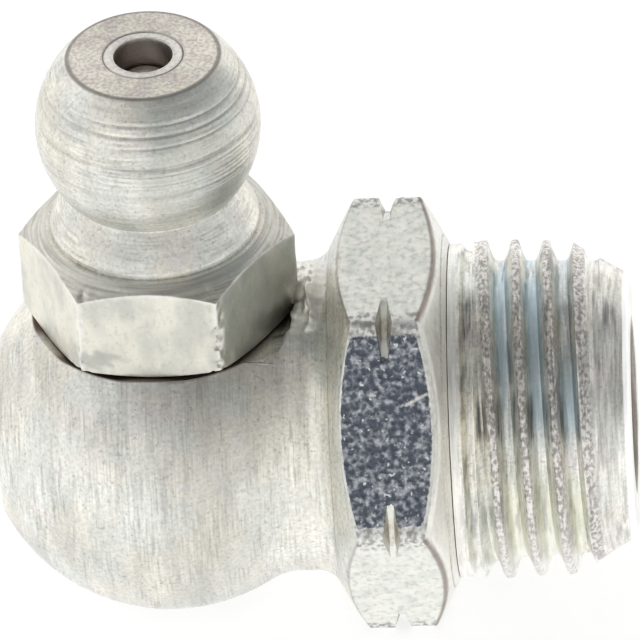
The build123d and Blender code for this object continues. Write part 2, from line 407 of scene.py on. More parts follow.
def neck_line():
    """The outline from the ball's crown to the flange, as close points."""
    fillet_x = sqrt((BALL_R + BALL_FILLET) ** 2 - (NECK_R + BALL_FILLET) ** 2)
    meet = atan2(NECK_R + BALL_FILLET, fillet_x)
    root = (ROOT_END[0] - ROOT_FILLET * sin(ROOT_BEND), NECK_R + ROOT_FILLET)
    line = arc((HEAD_X, 0), BALL_R, pi / 2, meet, 120)
    line += arc((HEAD_X + fillet_x, NECK_R + BALL_FILLET), BALL_FILLET, pi + meet, 1.5 * pi, 60)
    line += arc(root, ROOT_FILLET, 1.5 * pi, 1.5 * pi + ROOT_BEND, 40)
    return np.array(line)[:, :2]


def spot_span(turn, line, length):
    """Where the spot face starts and ends, its radius, and the line's length to its end."""
    lift = np.sin(turn)
    cut_r = np.where(lift > SPOT_Z / BALL_R, SPOT_Z / np.maximum(lift, 0.1), BALL_R)
    start = HEAD_X - np.sqrt(np.maximum(BALL_R**2 - cut_r**2, 0))
    run_out = np.interp(np.interp(-cut_r, -line[:, 1], length), length, line[:, 0])
    aside = np.minimum(np.abs(cut_r * np.cos(turn)), SPOT_R)
    wall = HEAD_X + np.sqrt(SPOT_R**2 - aside**2)
    end = np.where(cut_r > NECK_R, np.minimum(run_out, wall), wall)
    end = np.where(cut_r >= BALL_R, HEAD_X, end)
    return start, end, cut_r, np.interp(end, line[:, 0], length)


def make_ball(material):
    """Ball and neck with the spot face, the socket and the passage."""
    turn = FINE_ROUND
    line = neck_line()
    length = np.concatenate([[0], np.cumsum(np.hypot(*np.diff(line, axis=0).T))])
    start, end, cut_r, station = spot_span(turn, line, length)
    end_r = sqrt(BALL_R**2 - (HEAD_X - END_X) ** 2)
    corners = [(END_X, 0, 0, 12), (END_X, end_r, 0.12, 1)]
    first = pi - asin(end_r / BALL_R) - 0.02  # clear of the end face's rounded edge
    corners += arc((HEAD_X, 0), BALL_R, first, np.arccos((start - HEAD_X) / BALL_R), 64)[:-1]
    corners += [(start, cut_r, 0, 20), (end, cut_r, 0, 4)]
    for share in np.arange(80) / 80:
        along = station + (length[-1] - station) * share
        corners.append((*(np.interp(along, length, side) for side in line.T), 0, 1))
    corners += [(*ROOT_END, 0, 2), (ROOT_END[0], BORE_R, 0, 10)]
    bore_end = HEAD_X - PASSAGE_R
    corners += [(bore_end, BORE_R, 0, 3), (bore_end - BORE_POINT, 0, 0, 1)]
    mesh = lathe("elbow_ball", about_shank, corners, turn)
    socket = [(SPOT_Z + 1, 0), (SPOT_Z + 1, STUD_R), (SOCKET_Z, STUD_R)]
    socket += [(SOCKET_Z, PASSAGE_R), (0, PASSAGE_R), (0, 0)]
    socket = [(height, radius, 0, 1) for height, radius in socket]
    mesh = cut(mesh, lathe("socket", about_head, socket, ROUND))
    push(mesh, ball_wear)
    mark(mesh, grime=spot_part, burr=burr_part, dull=dulled_side, shadow=neck_part)
    return dress("elbow_ball", mesh, *ELBOW, material)


def spot_part(at):
    """1 on the spot face close round the hex, where the shadow under the hex is painted."""
    from_hex = at.from_head * np.cos(off_flat(at.head_turn - HEX_TURN)) - HEX_A
    return fade(0.02, 0.06, np.abs(at.z - SPOT_Z)) * fade(0.13, 0.24, from_hex)


def dulled_side(at):
    """1 on the band down the ball's front, right of its middle, where a dark reflection of the
    flange is painted.
    """
    band = between(-1.2, 1.2, 2.2, 3.9, at.aside)
    return band * smooth(1.0, 2.5, -at.y) * smooth(-5.2, -3.6, at.z)


def neck_part(at):
    """1 on top of the neck's front, dark between the burr and the flange."""
    band = smooth(3.0, 3.4, at.aside) * fade(4.3, 4.75, at.aside + 0.2 * at.noise([2, 1, 1], 7))
    above = smooth(3.75, 4.1, at.z) * smooth(-0.2, 0.5, -at.y)
    return band * above * (1 - burr_part(at))


def burr_part(at):
    """1 on the burr that the spot face's cutter threw up."""
    beside = between(-0.06, 0.02, 0.45, 1.0, at.from_head - SPOT_R) * (at.x > HEAD_X)
    inside = fade(ROOT_END[0] - 0.25, ROOT_END[0], at.x)
    return beside * inside * smooth(3.1, 3.7, at.z) * between(-2.4, -1.2, 0.4, 1.6, at.y)


def ball_wear(at):
    """Waves of the turned ball, and the burr beside the spot face."""
    outside = smooth(4.2, 4.4, at.from_shank + 2 * (at.x < HEAD_X - 3))
    lumps = np.maximum(at.waves(*BURR_LUMPS), -0.3)
    burr = burr_part(at) * (BURR_RISE[0] + BURR_RISE[1] * lumps)
    return (at.waves(*BALL_WAVES) - BALL_INSET + burr) * outside


# ---- the elbow's hex flange ----
def on_right_chamfer(radius):
    """The point at this radius on the flange's right chamfer."""
    return FLANGE_RIGHT + (FLANGE_R - radius) * CONE_RUN, radius


def make_flange(material):
    """The hexagon with its chamfers and its marking groove."""
    fine = np.linspace(0, SIXTH, 151)[:-1]  # the front flat needs more, for its grain
    turn = np.concatenate([fine, np.linspace(SIXTH, 2 * pi, 301)])
    hexagon = hex_radius(turn, FLANGE_A, FLANGE_ROUND, FLANGE_CROWN)
    fall = (FLANGE_R - hexagon) * CONE_RUN
    groove = MARK_HALF + np.maximum(hexagon - MARK_FLOOR_R, 0) * MARK_SLOPE
    floor_r = np.minimum(hexagon, MARK_FLOOR_R)
    corners = [
        (ROOT_END[0], BORE_R, 0, 2),
        (*ROOT_END, 0, 10),
        (FLANGE_LEFT - fall, hexagon, 0.05, 34),
        (MARK_X - groove, hexagon, 0.02, 4),
        (MARK_X - MARK_HALF, floor_r, 0, 3),
        (MARK_X + MARK_HALF, floor_r, 0, 4),
        (MARK_X + groove, hexagon, 0.02, 34),
        (FLANGE_RIGHT + fall, hexagon, 0.07, 10),
        (*on_right_chamfer(LINE_R + LINE_DEPTH), 0, 2),
        (on_right_chamfer(LINE_R)[0] - LINE_DEPTH, LINE_R - LINE_DEPTH, 0, 2),
        (*on_right_chamfer(LINE_R - LINE_DEPTH), 0, 6),
        (COLLAR_X, COLLAR_R, 0, 2),
        (COLLAR_X, BORE_R, 0, 2),
    ]
    mesh = lathe("hex_flange", about_shank, corners, turn)
    push(mesh, flange_wear)
    mark(mesh, flat=flat_part, dark=dark_part, rim=rim_part, corner=corner_part)
    mark(mesh, scratch=scratch_part, bright=bright_part)
    return dress("hex_flange", mesh, *ELBOW, material)


def on_flats(at):
    """Distances from the flat's corner, over the flat, and inside its left and right edges."""
    off = off_flat(at.shank_turn)
    fall = (FLANGE_R - FLANGE_A / np.cos(off)) * CONE_RUN
    to_left = at.x - (FLANGE_LEFT - fall)
    to_right = FLANGE_RIGHT + fall - at.x
    to_corner = FLANGE_R / 2 - np.abs(at.from_shank * np.sin(off))
    return to_corner, at.from_shank * np.cos(off) - FLANGE_A, to_left, to_right


def on_front_flat(at):
    """Whether each point is on the flat that faces forwards and up."""
    return np.abs(at.shank_turn - SIXTH / 2) < SIXTH / 2


def flat_part(at):
    """1 on the six flats."""
    _, height, _, _ = on_flats(at)
    return smooth(0.6, 0.75, np.hypot(at.back, at.up)) * smooth(-0.3, -0.2, height)


def dark_part(at):
    """1 inside the coarse front flat, where a dark reflection is painted, fading to its borders.
    """
    to_corner, height, to_left, to_right = on_flats(at)
    inside = smooth(0.0, 0.16, to_left) * smooth(0.05, 0.24, to_right)
    inside = inside * smooth(0.25, 0.6, to_corner)
    return on_front_flat(at) * inside * (height > -0.08)


def rim_part(at):
    """1 along the right edges of all but the front flat, and fainter along the left ones."""
    _, height, to_left, to_right = on_flats(at)
    right = fade(0.05, 0.12, np.abs(to_right))
    left = 0.5 * fade(0.02, 0.06, np.abs(to_left))
    return (right + left) * smooth(-0.2, -0.1, height) * ~on_front_flat(at)


def corner_part(at):
    """1 on the worn bands beside the flange's corners."""
    to_corner, height, _, _ = on_flats(at)
    ragged = to_corner + 0.06 * at.noise(6, 15)
    return fade(0.45, 0.56, ragged) * smooth(-0.3, -0.2, height)


def scratch_part(at):
    """1 in the one bright scratch across the front flat's right edge."""
    across = np.stack([at.x, (at.y + at.z * sqrt(3)) / 2], -1)
    start, end = np.array(SCRATCH)
    share = np.clip((across - start) @ (end - start) / np.sum((end - start) ** 2), 0, 1)
    from_line = np.linalg.norm(across - start - share[:, None] * (end - start), axis=1)
    return fade(0.02, 0.06, from_line + 0.015 * at.noise(8, 16)) * (at.y < 0)


def bright_part(at):
    """1 on the right chamfer, which is brighter than the left one."""
    return smooth(FLANGE_RIGHT - 0.05, FLANGE_RIGHT + 0.1, at.x) * smooth(0.5, 0.7, at.right)


def flange_wear(at):
    """Waves and dents of the drawn flats, and the grain of the dark one."""
    to_corner, height, _, _ = on_flats(at)
    outer = smooth(-0.25, -0.1, height)
    grain = at.waves(DARK_GRAIN) * dark_part(at)
    corner = at.waves(CORNER_WAVES) * fade(0.1, 0.5, to_corner)
    return (at.waves(*FLAT_WAVES) + grain + corner - ELBOW_INSET) * outer


# ---- the shank ----
def off_crest(along, turn):
    """The distance along the shank to the nearest crest of the thread."""
    crest_x = CREST_X - PITCH * (turn - pi / 2) / (2 * pi)
    return np.abs((along - crest_x + PITCH / 2) % PITCH - PITCH / 2)


def thread_radius(along, turn):
    """The thread's radius: narrow ridges, broad roots and the lead chamfer."""
    off = off_crest(along, turn)
    worked = smooth(RELIEF_X[1] - 0.1, RELIEF_X[1] + 0.5, along)
    depth = THREAD_DEPTH * smooth(*CREST_HALF, off) * worked
    lead_fall = (THREAD_R - LEAD_END[1]) / (LEAD_END[0] - LEAD_X)
    lead = THREAD_R - np.maximum(along - LEAD_X, 0) * lead_fall
    return np.minimum(THREAD_R - along * THREAD_TAPER - depth, lead)


def make_shank(material):
    """Collar, relief, taper thread, lead chamfer and the mouth of the bore."""
    turn = FINE_ROUND
    step = PITCH / 20
    first, last = RELIEF_X[1] + 0.02, LEAD_END[0]
    helix = first - PITCH + step * np.arange(int((last - first + 2 * PITCH) / step))
    helix = helix[:, None] - PITCH * (turn - pi) / (2 * pi)
    helix = np.clip(helix, first, last)
    thread = [(x, thread_radius(x, turn), 0, 1) for x in helix]
    corners = [
        (COLLAR_X, BORE_R, 0, 2),
        (COLLAR_X, COLLAR_R, 0, 10),
        (COLLAR_END, COLLAR_R, 0.05, 4),
        (RELIEF_X[0] - 0.06, RELIEF_R, 0.04, 4),
        (RELIEF_X[1], RELIEF_R, 0.02, 2),
        *thread,
        (*LEAD_END, 0, 8),
        (TIP_X, TIP_R, 0.08, 6),
        (TIP_X, BORE_MOUTH_R, 0.05, 5),
        (TIP_X - BORE_MOUTH_DEPTH, BORE_R, 0, 6),
    ]
    mesh = lathe("threaded_shank", about_shank, corners, turn)
    push(mesh, shank_wear)
    mark(mesh, blue=blue_root, yellow=yellow_root, smut=smut_part, crest=crest_band)
    mark(mesh, bore=in_bore, tip=at_tip, plain=plain_part, lead=lead_part)
    return dress("threaded_shank", mesh, *ELBOW, material)


def thread_depth(at):
    """Depths in the thread, 0 at a crest and 1 at a root, and what is on it."""
    depth = (THREAD_R - at.x * THREAD_TAPER - at.from_shank) / THREAD_DEPTH
    return depth, (at.x > RELIEF_X[1] + 0.1) & (at.x < LEAD_X + 0.4) & (at.from_shank > 4)


def blue_root(at):
    """1 in the thread's blue roots, from the front upwards."""
    depth, threaded = thread_depth(at)
    return smooth(0.8, 0.97, depth) * threaded * smooth(10, 30, np.degrees(at.shank_turn))


def yellow_root(at):
    """1 in the thread's yellow roots, from the front down."""
    depth, threaded = thread_depth(at)
    return smooth(0.6, 0.97, depth) * threaded * fade(-8, 14, np.degrees(at.shank_turn))


def smut_part(at):
    """1 in bands of painted dark reflection on the thread's front, and the upper band on relief
    and lead.
    """
    depth, threaded = thread_depth(at)
    flank = between(0.25, 0.45, 0.8, 0.97, depth) * threaded
    turn = np.degrees(at.shank_turn) + 5 * at.noise([6, 1, 1], 24)
    low = between(*SMUT_LOW, turn)
    high = between(*SMUT_HIGH, turn)
    relief = fade(0.06, 0.2, np.abs(at.x - RELIEF_X[0]))
    lead = fade(0.1, 0.28, np.abs(at.x - LEAD_END[0] + 0.4))
    return flank * low + (relief + lead) * high


def on_crest(at):
    """1 on the thread's crest."""
    depth, threaded = thread_depth(at)
    return fade(0.1, 0.4, depth) * threaded


def crest_band(at):
    """1 on the thread's crest, and where the lead chamfer cuts the last ridge off."""
    cut_off = (at.x > LEAD_X - 0.1) & (at.x < LEAD_X + 0.9)
    return on_crest(at) + fade(0.1, 0.24, off_crest(at.x, at.shank_turn)) * cut_off


def in_bore(at):
    """1 in the bore and its mouth, where their shade is painted."""
    inside = fade(BORE_MOUTH_R - 0.06, BORE_MOUTH_R, at.from_shank)
    return inside * (at.x > COLLAR_X + 0.1)


def at_tip(at):
    """1 on the edge at the end of the lead chamfer, where a highlight is painted."""
    end = smooth(LEAD_END[0] - 0.04, LEAD_END[0] + 0.02, at.x)
    return end * smooth(3.5, 3.65, at.from_shank)


def lead_part(at):
    """1 on the lead chamfer beyond the last ridge, which is painted darker."""
    beyond = smooth(LEAD_X + 0.6, LEAD_X + 0.9, at.x) * (at.right < 0.8)
    return beyond * (1 - at_tip(at))


def plain_part(at):
    """1 on the smooth end face, fainter on the collar, and half on the underside, where the
    floor's reflection is painted.
    """
    collar = fade(COLLAR_END - 0.15, COLLAR_END, at.x) * smooth(3, 4, at.from_shank)
    # the underside, which faces the floor: a painted reflection of it
    under = fade(-25, 5, np.degrees(at.shank_turn)) * (at.x < LEAD_X)
    end = smooth(TIP_X - 0.15, TIP_X - 0.1, at.x) * smooth(0.8, 0.9, at.right)
    return np.maximum(0.85 * collar, 0.5 * under) + end


def shank_wear(at):
    """Torn crests and tool lines on the shank."""
    torn = at.waves(*TORN_CREST) * on_crest(at)
    return (torn + at.waves(SHANK_RINGS) - ELBOW_INSET) * smooth(3.4, 3.6, at.from_shank)


# ---- the nipple head ----
def ring_cuts(height, turn):
    """Depths of the turning tool's rings at heights on the coupler ball."""
    depth = 0.0
    for ring_z, ring_depth in TOOL_RINGS:
        wander = ring_z + 0.02 * np.sin(turn + ring_z * 5)
        depth = depth + ring_depth * np.exp(-(((height - wander) / RING_HALF) ** 2))
    low, high, spacing, fine = FINE_RINGS
    inside = between(low, low + 0.1, high - 0.1, high, height)
    return depth + fine * inside * (0.5 + 0.5 * np.cos(2 * pi * height / spacing)) ** 3


def make_head(material):
    """The nipple: hex, flare and coupler ball round the check valve."""
    even = np.linspace(0, 2 * pi, 301)
    turn = HEX_TURN + even - 0.6 / 6 * np.sin(6 * even)  # closer at the hexagon's corners
    hexagon = hex_radius(turn - HEX_TURN, HEX_A, HEX_ROUND)
    line_r, line_depth, line_half = MOUTH_LINE
    top = asin((TOP_Z - COUPLER_Z) / COUPLER_R)
    waist = -acos(FLARE[1][1] / COUPLER_R)
    ball = []
    for angle in np.linspace(top, waist, 150)[2:]:
        height = COUPLER_Z + COUPLER_R * sin(angle)
        radius = COUPLER_R - ring_cuts(height, turn)
        ball.append((COUPLER_Z + radius * sin(angle), radius * cos(angle), 0, 1))
    corners = [
        (TOP_Z - BURNISHED_DEPTH, MOUTH_R, 0.04, 8),
        (TOP_Z - BURNISHED_DEPTH, line_r, 0.01, 1),
        (TOP_Z - line_depth, line_r + line_half, 0.005, 1),
        (TOP_Z, line_r + 2 * line_half, 0.01, 24),
        (TOP_Z, FLAT_TOP_R, 0.07, 1),
        *ball,
        (*FLARE[1], 0.06, 14),
        (*FLARE[0], 0.03, 3),
        (SHOULDER_Z, FLARE[0][1], 0, 3),
        (SHOULDER_Z, SHOULDER_R, 0.03, 12),
        (HEX_TOP_Z + (HEX_R - hexagon) * HEX_RISE, hexagon, 0.05, 34),
        (SPOT_Z + np.maximum(hexagon - HEX_FOOT_R, 0) * HEX_FOOT_RISE, hexagon, 0.04, 5),
        (SPOT_Z, np.minimum(hexagon, HEX_FOOT_R), 0, 2),
        (SPOT_Z, STUD_R, 0, 2),
        (LIP_Z, STUD_R, 0, 2),
        (STUD_Z, STUD_R - STUD_CHAMFER, 0, 2),
        (STUD_Z, LIP_BORE_R, 0, 2),
        (LIP_Z, LIP_BORE_R, 0, 2),
        (LIP_Z, CHAMBER_R, 0, 6),
        (CHAMBER_TOP_Z, CHAMBER_R, 0, 5),
        (SEAT_EDGE_Z, MOUTH_R, 0, 10),
    ]
    mesh = lathe("nipple_head_skin", about_head, corners, turn)
    push(mesh, head_wear)
    mark(mesh, edge=on_hex_edge, turned=turned_part, top=top_part, rim=rim_line, ring=tool_ring)
    mark(mesh, burnished=burnished_part, chamfer=chamfer_part, dull=dull_part)
    mark(mesh, scuff=scuff_part, mouth=in_mouth)
    return dress("nipple_head_skin", mesh, "fitting", "plated_head", ["nipple_head"], material)


def to_hex_edge(at):
    """Each point's distance from the nearest of the hex's upright edges."""
    off = np.abs(off_flat(at.head_turn - HEX_TURN))
    return HEX_R / 2 - at.from_head * np.sin(off)


def on_hex_edge(at):
    """1 on the hex's worn edges, upright and along its chamfer, which also carry a painted
    highlight.
    """
    side = smooth(3.4, 3.45, at.from_head) * (at.up < 0.5)
    below_top = HEX_TOP_Z + (HEX_R - at.from_head) * HEX_RISE - at.z
    worn = np.minimum(to_hex_edge(at), below_top + 0.03) + 0.08 * at.noise(5, 31)
    return side * fade(0.03, 0.2, worn)


def turned_part(at):
    """1 where the head is turned, 0 on the hex's facets and the flat top."""
    facet = smooth(3.3, 3.4, at.from_head) * fade(0.3, 0.45, at.up)
    return (1 - facet) * (1 - top_part(at))


def top_part(at):
    """1 on the flat top."""
    return smooth(TOP_Z - 0.05, TOP_Z - 0.03, at.z) * smooth(0.8, 0.95, at.up)


def rim_line(at):
    """1 in the painted line of shade on the flat top's rim, fainter round the burnished ring."""
    ring = 0.5 * fade(0.02, 0.05, np.abs(at.from_head - MOUTH_LINE[0] - 0.03))
    rim = fade(0.03, 0.09, np.abs(at.from_head - FLAT_TOP_R + 0.02))
    return (ring + rim) * smooth(TOP_Z - 0.09, TOP_Z - 0.06, at.z)


def burnished_part(at):
    """1 on the burnished ring round the mouth."""
    return fade(0.05, 0.12, np.abs(at.from_head - BURNISHED_R)) * top_part(at)


def chamfer_part(at):
    """1 on the hex's top chamfer, which is scored, with a painted dark reflection."""
    outside = smooth(SHOULDER_R - 0.02, SHOULDER_R + 0.04, at.from_head)
    return outside * smooth(0.6, 0.8, at.up) * (at.z < SHOULDER_Z + 0.02)


def dull_part(at):
    """1 on painted shade: the ball's right front, the right facet and the flare's foot."""
    ball = between(-0.4, 0.6, 2.4, 3.1, at.aside) * smooth(-2.0, -1.0, at.z - COUPLER_Z)
    facet = smooth(0.6, 0.8, at.right) * (at.z < HEX_TOP_Z + 0.5)
    from_foot = at.from_head - SHOULDER_R + 0.15 * at.noise([3, 3, 1], 38)
    foot = between(0.9, 1.7, 2.7, 3.1, at.aside) * fade(0.12, 0.35, np.abs(from_foot - 0.05))
    foot = foot * (at.y < 0) * (np.abs(at.z - HEX_TOP_Z) < 0.5)
    return (0.85 * ball + facet) * smooth(0.0, 0.3, -at.back) + 2 * foot


def scuff_part(at):
    """1 in the scuff low on the left of the hex's front facet."""
    aside, height, half_width, half_height = SCUFF
    across = (at.aside - aside) / half_width
    above = (at.z - height) / half_height
    from_middle = np.hypot(across, above) + 0.4 * at.noise([5, 5, 9], 39)
    return fade(0.6, 1.15, from_middle) * (at.back < -0.8) * (at.z < HEX_TOP_Z)


def in_mouth(at):
    """1 down the mouth and the chamber below it."""
    inside = fade(CHAMBER_R + 0.02, CHAMBER_R + 0.05, at.from_head)
    return inside * (at.z < TOP_Z - 0.06)


def tool_ring(at):
    """1 in the tool's rings on the coupler ball, which are painted darker."""
    on_ball = smooth(FLARE[1][0] + 0.3, FLARE[1][0] + 0.5, at.z)
    broken = smooth(-0.2, 0.35, at.noise([1.6, 1.6, 5], 37))
    rings = ring_cuts(at.z, at.head_turn) / TOOL_RINGS[0][1]
    return rings * on_ball * broken * (1 - top_part(at))


def head_wear(at):
    """Chips on the hex's edges, dents on its facets, and a slight wave all over."""
    side = smooth(3.35, 3.45, at.from_head) * smooth(SPOT_Z, SPOT_Z + 0.2, at.z)
    worn = smooth(1.5, 3.0, -at.y) * (0.6 + 0.5 * smooth(-1, 1, at.aside))
    bites = smooth(-0.1, 0.5, at.waves(EDGE_BITES)) + at.waves(EDGE_GRAIN)
    chips = CHIP_DEPTH * worn * np.maximum(bites, 0) * fade(0.03, 0.36, to_hex_edge(at))
    facet = at.waves(*FACET_WAVES) - chips - FACET_INSET
    turned = at.waves(HEAD_RINGS) * (at.z > HEX_TOP_Z)
    return smooth(1.4, 1.5, at.from_head) * (side * facet + turned - HEAD_INSET)


# ---- the check valve ----
def make_check_ball(material):
    """The check valve's ball."""
    low, high = (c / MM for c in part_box("check_ball"))
    centre, radius = (low + high) / 2, (high[2] - low[2]) / 2
    corners = arc((centre[2], 0), radius, 0, pi, 48)
    mesh = lathe("steel_ball", about_head, corners, ROUND)
    return dress("steel_ball", mesh, "ball", "ball_steel", ["check_ball"], material)


def make_spring(material):
    """The coil spring, its end turns closed, which the check ball presses down."""
    low, high = (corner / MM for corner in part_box("valve_spring"))
    first, last = low[2] + WIRE_R, high[2] - WIRE_R
    turns = np.linspace(0, SPRING_TURNS + 2, (SPRING_TURNS + 2) * 48 + 1)[:, None]
    stops = [0, 1, SPRING_TURNS + 1, SPRING_TURNS + 2]
    height = np.interp(turns, stops, [first, first + 2 * WIRE_R, last - 2 * WIRE_R, last])
    around = np.linspace(0, 2 * pi, 13)
    radius = SPRING_R + WIRE_R * np.cos(around) + 0 * turns
    rows = np.stack([height + WIRE_R * np.sin(around), radius], -1)
    mesh = skin("coil_spring", about_head(rows, 2 * pi * turns), closed=False)
    piece = dress("coil_spring", mesh, "fitting", "spring_steel", ["valve_spring"], material)
    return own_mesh(piece)


# ---- materials ----
def fill(node, inputs):
    """Links or sets a node's inputs."""
    for name, value in inputs.items():
        if isinstance(value, bpy.types.NodeSocket):
            node.id_data.links.new(value, node.inputs[name])
        else:
            node.inputs[name].default_value = value


def put(tree, kind, inputs=None, **settings):
    """Adds a node to a tree."""
    node = tree.nodes.new("ShaderNode" + kind)
    for name, value in settings.items():
        setattr(node, name, value)
    fill(node, inputs or {})
    return node


class Coat:
    """A material built up in layers over the object's own coordinates, in millimetres."""

    def __init__(self, name, colour):
        self.material = bpy.data.materials.new(name)
        self.material.use_nodes = True
        self.tree = self.material.node_tree
        self.shader = self.tree.nodes["Principled BSDF"]
        self.place = put(self.tree, "TexCoord").outputs["Object"]
        self.colour = colour

    def noise(self, per_mm, detail=2.0, seed=0):
        """Noise with so many bumps to a millimetre, alike or along x, y and z."""
        scale = [c / MM for c in np.broadcast_to(per_mm, 3)]
        inputs = {"Vector": self.place, "Scale": scale, "Location": [seed * 7.3] * 3}
        vector = put(self.tree, "Mapping", inputs).outputs["Vector"]
        inputs = {"Vector": vector, "Scale": 1.0, "Detail": detail}
        return put(self.tree, "TexNoise", inputs).outputs["Fac"]

    def step(self, value, low, high, bottom=0.0, top=1.0):
        """A value's smooth step from bottom at low to top at high."""
        inputs = {"Value": value, "From Min": low, "From Max": high}
        inputs |= {"To Min": bottom, "To Max": top}
        node = put(self.tree, "MapRange", inputs, interpolation_type="SMOOTHSTEP")
        return node.outputs["Result"]

    def math(self, operation, a, b):
        """Two values added, subtracted or multiplied."""
        return put(self.tree, "Math", {0: a, 1: b}, operation=operation).outputs["Value"]

    def times(self, *values):
        """The product of two or more values."""
        product, *others = values
        for value in others:
            product = self.math("MULTIPLY", product, value)
        return product

    def attribute(self, name):
        """What the mesh is marked with under this name."""
        return put(self.tree, "Attribute", attribute_name=name).outputs["Fac"]

    def mix(self, share, under, over, blend="MIX"):
        """One colour or shade over another."""
        colours = [(*c, 1) if isinstance(c, tuple) else c for c in (under, over)]
        inputs = {0: share, 6: colours[0], 7: colours[1]}  # the places of factor, A and B
        node = put(self.tree, "Mix", data_type="RGBA", blend_type=blend)
        fill(node, inputs)
        return node.outputs[2]

    def over(self, share, colour):
        """Lays a colour over what is there."""
        self.colour = self.mix(share, self.colour, colour)

    def paint(self, name, share, colour):
        """Lays a share of a colour over what is marked with this name."""
        self.over(self.times(self.attribute(name), share), colour)

    def shade(self, value):
        """Darkens or lightens what is there."""
        self.colour = self.mix(1.0, self.colour, value, blend="MULTIPLY")

    def finish(self, rough, heights, axis=None):
        """Links the layers as metal: rough is a value and the roughness where it is low and
        high, heights are (value, millimetres), and tool lines run round the axis."""
        value, low, high = rough
        inputs = {"Metallic": 1.0, "Base Color": self.colour}
        inputs["Roughness"] = self.step(value, 0.3, 0.7, low, high)
        for value, depth in heights:
            bump = {"Height": value, "Distance": depth * MM, "Strength": 1.0}
            if "Normal" in inputs:
                bump["Normal"] = inputs["Normal"]
            inputs["Normal"] = put(self.tree, "Bump", bump).outputs["Normal"]
        if axis:
            tangent = put(self.tree, "Tangent", direction_type="RADIAL", axis=axis)
            inputs |= {"Tangent": tangent.outputs["Tangent"], "Anisotropic": LINE_SHEEN}
            inputs["Anisotropic Rotation"] = 0.25  # a quarter turn
        fill(self.shader, inputs)
        return self.material


GREEN_GREY = (0.81, 0.82, 0.77)
WARM_GREY = (0.88, 0.85, 0.76)
PINK_GREY = (0.86, 0.83, 0.81)
STAIN = (0.40, 0.37, 0.34)
# painted shade: the shadow under the hex and the dark inside of the bore
GRIME = (0.16, 0.12, 0.10)
MID = (0.5, 0.5, 0.5)
WHITE = (1, 1, 1, 1)
LINE_SHEEN = 0.6  # how far tool lines stretch a highlight across themselves


def zinc(name, deepest=0.62):
    """Zinc plate: patches of three greys, specks, and shade in the corners."""
    coat = Coat(name, GREEN_GREY)
    coat.over(coat.step(coat.noise(0.45, seed=1), 0.4, 0.62), WARM_GREY)
    coat.over(coat.step(coat.noise(0.9, seed=2), 0.56, 0.74), PINK_GREY)
    mottle = coat.noise(9, 4.0, seed=16)
    coat.shade(coat.step(mottle, 0.34, 0.64, 0.88, 1.04))
    specks = coat.step(coat.noise(8, seed=3), 0.6, 0.7)
    coat.over(coat.times(specks, 0.45), STAIN)
    hollow = put(coat.tree, "AmbientOcclusion", {"Distance": 1.2 * MM}, samples=4)
    coat.shade(coat.step(hollow.outputs["AO"], 0.15, 0.85, deepest, 1.0))
    return coat


def turned_lines(coat, axis, fine, where=None, least=0.15, shades=(0.8, 1.04)):
    """Fine lines and broad bands about an axis, none all the way round."""
    fine_scale = [fine if axis == a else 0.9 for a in "XYZ"]
    broad_scale = [2.6 if axis == a else 0.3 for a in "XYZ"]
    strength = coat.step(coat.noise(0.9, seed=14), 0.4, 0.6, least, 0.9)
    if where:
        strength = coat.times(strength, where)
    lines = coat.mix(strength, MID, coat.noise(fine_scale, 3.0, seed=4))
    broad = coat.noise(broad_scale, seed=5)
    if where:
        broad = coat.mix(where, MID, broad)
    coat.shade(coat.step(lines, 0.3, 0.62, *shades))
    coat.shade(coat.step(broad, 0.3, 0.62, 0.9, 1.03))
    return lines, broad


def body_finish():
    """Turned and scored, with a bright burr, painted shadow round the hex and painted shade down
    one side.
    """
    coat = zinc("turned_zinc_body")
    lines, broad = turned_lines(coat, "X", 15.0, least=0.05)
    coat.shade(coat.step(coat.noise(0.3, seed=23), 0.4, 0.6, 0.93, 1.09))
    scores = coat.step(coat.noise((8, 0.45, 0.45), seed=24), 0.64, 0.7)
    coat.over(coat.times(scores, 0.4), STAIN)
    # painted shadow under the hex, on the spot face round its foot
    coat.paint("grime", 1.0, GRIME)
    coat.paint("burr", 0.5, (0.93, 0.90, 0.83))
    # painted shade: the flange's dark reflection down the ball's front
    coat.paint("dull", 0.24, (0.38, 0.36, 0.31))
    coat.paint("shadow", 0.5, (0.24, 0.25, 0.23))
    pits = coat.noise(8, 3.0, seed=6)
    heights = [(lines, 0.005), (broad, 0.02), (pits, 0.008)]
    return coat.finish((lines, 0.48, 0.36), heights, "X")


